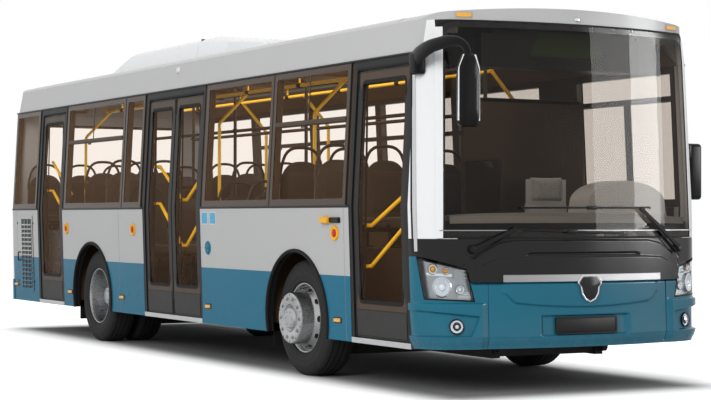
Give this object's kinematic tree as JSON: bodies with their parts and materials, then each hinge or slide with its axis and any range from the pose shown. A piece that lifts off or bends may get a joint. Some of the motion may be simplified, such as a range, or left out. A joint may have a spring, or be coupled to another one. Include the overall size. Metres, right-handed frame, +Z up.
{
  "type": "low-floor city bus",
  "caption": "Low-floor midi city bus with doorways along its right side, glazed saloon, bowed windscreen and roof unit.",
  "frame": {"origin": "on the ground under the middle of the bus, between its sides and its ends", "axes": "+X forward, +Y to the left side, +Z up"},
  "size_m": [9.8718, 2.676, 2.9679],
  "materials": {
    "black_gloss": "polished black",
    "blue_paint": "glossy blue paint",
    "chassis_steel": "black chassis paint",
    "clear_glass": "clear laminated",
    "dark_frame": "charcoal, satin",
    "dark_plastic": "satin black",
    "engine_iron": "cast and painted",
    "floor_covering": "speckled non-slip vinyl",
    "grey_paint": "glossy light grey paint",
    "grey_plastic": "fine-grained grey",
    "lamp_glass": "clear polycarbonate",
    "seat_fabric": "dark patterned cloth on a plastic shell",
    "teal_paint": "glossy teal-blue paint with a metallic flake",
    "tinted_glass": "brown-tinted",
    "two_tone_paint": "light grey above, blue band below, glossy",
    "tyre": "matte rubber",
    "wheel_metal": "satin silver",
    "white_paint": "glossy white paint",
    "yellow_paint": "yellow-orange powder coat"
  },
  "bodies": {
    "root": {"dashboard": "grey_plastic", "destination_display": "dark_plastic", "door_frames": "dark_frame", "driver_cab": "dark_plastic", "engine": "engine_iron", "floor_deck": "floor_covering", "front_apron": "black_gloss", "front_axle": "chassis_steel", "front_bumper": "teal_paint", "front_pillars": "white_paint", "handrails": "yellow_paint", "lamps": "lamp_glass", "mirrors": "dark_plastic", "rear_axle": "chassis_steel", "rear_bumper": "blue_paint", "rear_platform": "floor_covering", "rear_wall": "grey_paint", "rear_window": "tinted_glass", "roof": "grey_paint", "roof_unit": "white_paint", "seats": "seat_fabric", "side_glass": "tinted_glass", "side_lower_left": "two_tone_paint", "side_lower_right": "two_tone_paint", "steering_wheel": "dark_plastic", "underframe": "chassis_steel", "wheelhouses": "dark_plastic", "window_frames": "dark_frame", "windscreen": "clear_glass", "wipers": "dark_plastic"},
    "door_front": {"door_front": "dark_frame", "door_front_glass": "tinted_glass"},
    "door_middle_front": {"door_middle_front": "dark_frame", "door_middle_front_glass": "tinted_glass"},
    "door_middle_rear": {"door_middle_rear": "dark_frame", "door_middle_rear_glass": "tinted_glass"},
    "door_rear": {"door_rear": "dark_frame", "door_rear_glass": "tinted_glass"},
    "engine_hatch": {"engine_hatch": "grey_paint"},
    "front_wheel_left": {"front_rim_left": "wheel_metal", "front_tyre_left": "tyre"},
    "front_wheel_right": {"front_rim_right": "wheel_metal", "front_tyre_right": "tyre"},
    "knuckle_left": {"knuckle_left": "chassis_steel"},
    "knuckle_right": {"knuckle_right": "chassis_steel"},
    "rear_wheel_left": {"rear_rims_left": "wheel_metal", "rear_tyres_left": "tyre"},
    "rear_wheel_right": {"rear_rims_right": "wheel_metal", "rear_tyres_right": "tyre"}
  },
  "joints": [
    {"name": "steer_left", "type": "hinge", "parent": "root", "child": "knuckle_left", "pos_m": [2.42, 0.88, 0.465], "axis": [0, 0, 1], "range_deg": [-40, 40]},
    {"name": "front_spin_left", "type": "hinge", "parent": "knuckle_left", "child": "front_wheel_left", "pos_m": [2.42, 0.88, 0.465], "axis": [0, 1, 0], "continuous": true},
    {"name": "rear_spin_left", "type": "hinge", "parent": "root", "child": "rear_wheel_left", "pos_m": [-2.21, 0.9, 0.465], "axis": [0, 1, 0], "continuous": true},
    {"name": "steer_right", "type": "hinge", "parent": "root", "child": "knuckle_right", "pos_m": [2.42, -0.88, 0.465], "axis": [0, 0, 1], "range_deg": [-40, 40]},
    {"name": "front_spin_right", "type": "hinge", "parent": "knuckle_right", "child": "front_wheel_right", "pos_m": [2.42, -0.88, 0.465], "axis": [0, 1, 0], "continuous": true},
    {"name": "rear_spin_right", "type": "hinge", "parent": "root", "child": "rear_wheel_right", "pos_m": [-2.21, -0.9, 0.465], "axis": [0, 1, 0], "continuous": true},
    {"name": "door_rear_swing", "type": "hinge", "parent": "root", "child": "door_rear", "pos_m": [-3.814, -1.148, 1.37], "axis": [0, 0, 1], "range_deg": [0, 90]},
    {"name": "door_middle_rear_swing", "type": "hinge", "parent": "root", "child": "door_middle_rear", "pos_m": [-0.743, -1.148, 1.37], "axis": [0, 0, 1], "range_deg": [0, 90]},
    {"name": "door_middle_front_swing", "type": "hinge", "parent": "root", "child": "door_middle_front", "pos_m": [0.515, -1.148, 1.37], "axis": [0, 0, -1], "range_deg": [0, 90]},
    {"name": "door_front_swing", "type": "hinge", "parent": "root", "child": "door_front", "pos_m": [4.181, -1.148, 1.37], "axis": [0, 0, -1], "range_deg": [0, 90]},
    {"name": "engine_hatch_lift", "type": "hinge", "parent": "root", "child": "engine_hatch", "pos_m": [-4.89715, 0, 1.387], "axis": [0, 1, 0], "range_deg": [0, 85]}
  ],
  "couplings": [
    {"joint": "steer_right", "follows": "steer_left", "ratio": 1}
  ]
}
